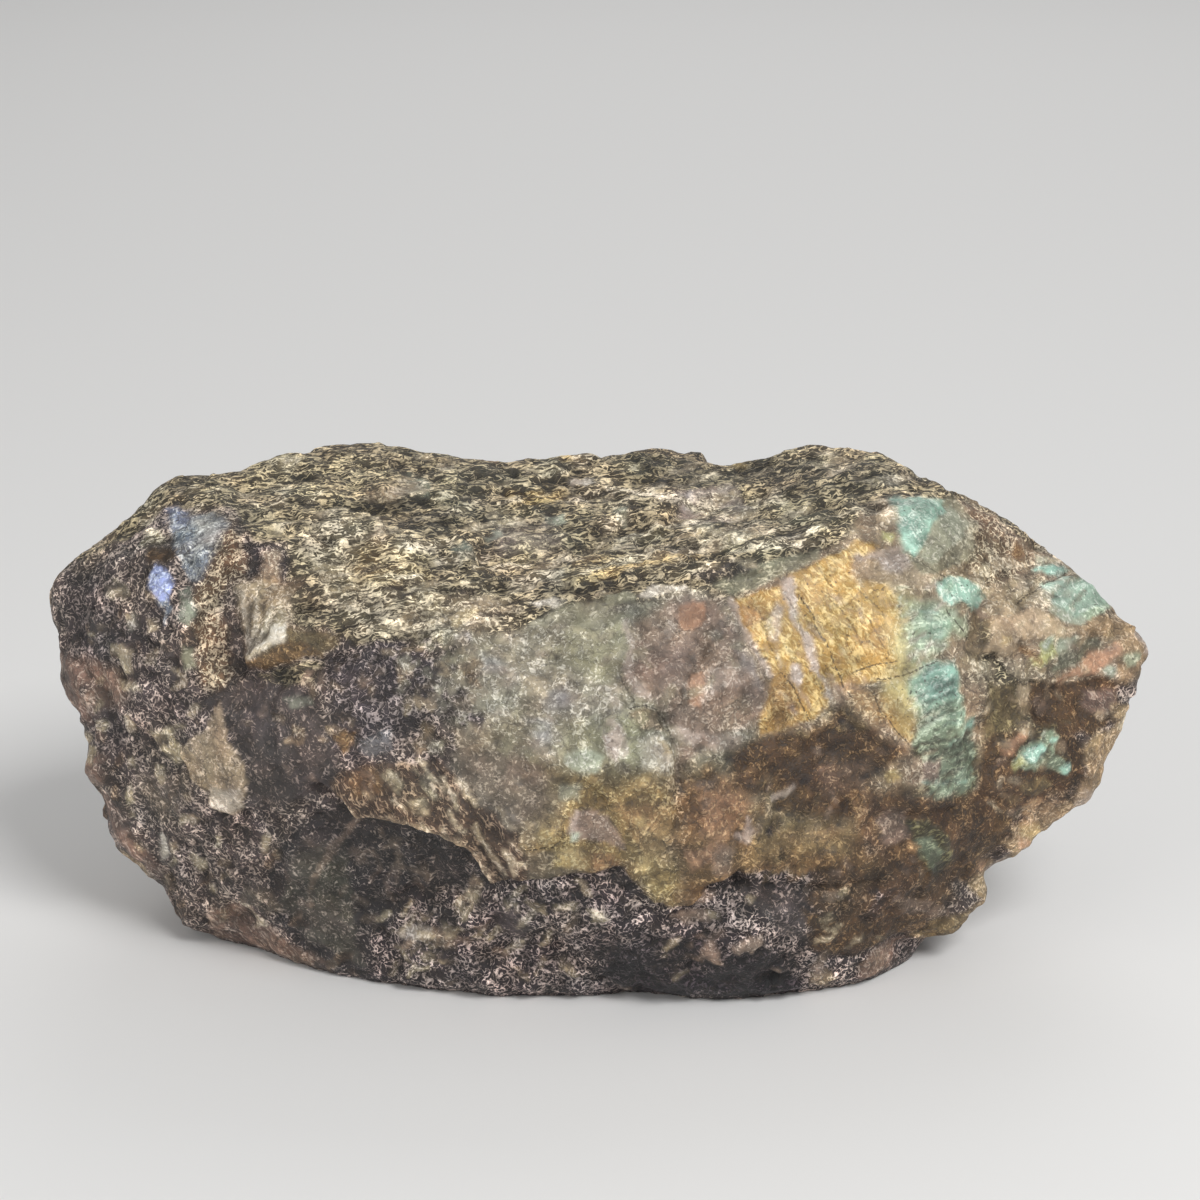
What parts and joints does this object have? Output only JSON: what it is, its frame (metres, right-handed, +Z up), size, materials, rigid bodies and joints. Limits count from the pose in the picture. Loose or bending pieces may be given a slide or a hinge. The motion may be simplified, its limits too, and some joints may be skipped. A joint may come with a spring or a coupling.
{
  "type": "rough labradorite chunk",
  "caption": "Rough broken piece of labradorite feldspar lying on a flat break, with a weathered crust on top and a broad cleavage face that flashes gold and teal.",
  "frame": {"origin": "under the middle of the stone's bounding box, on the flat break that it rests on", "axes": "+X along the stone's length towards the wedge-shaped tip, +Y away from the broad colour-flash face, +Z up"},
  "size_m": [0.1226, 0.056, 0.054],
  "materials": {
    "labradorite": "rough broken stone, mottled olive brown to slate, with satin gold and teal flash on the front"
  },
  "bodies": {
    "root": {"labradorite_chunk": "labradorite"}
  },
  "joints": []
}
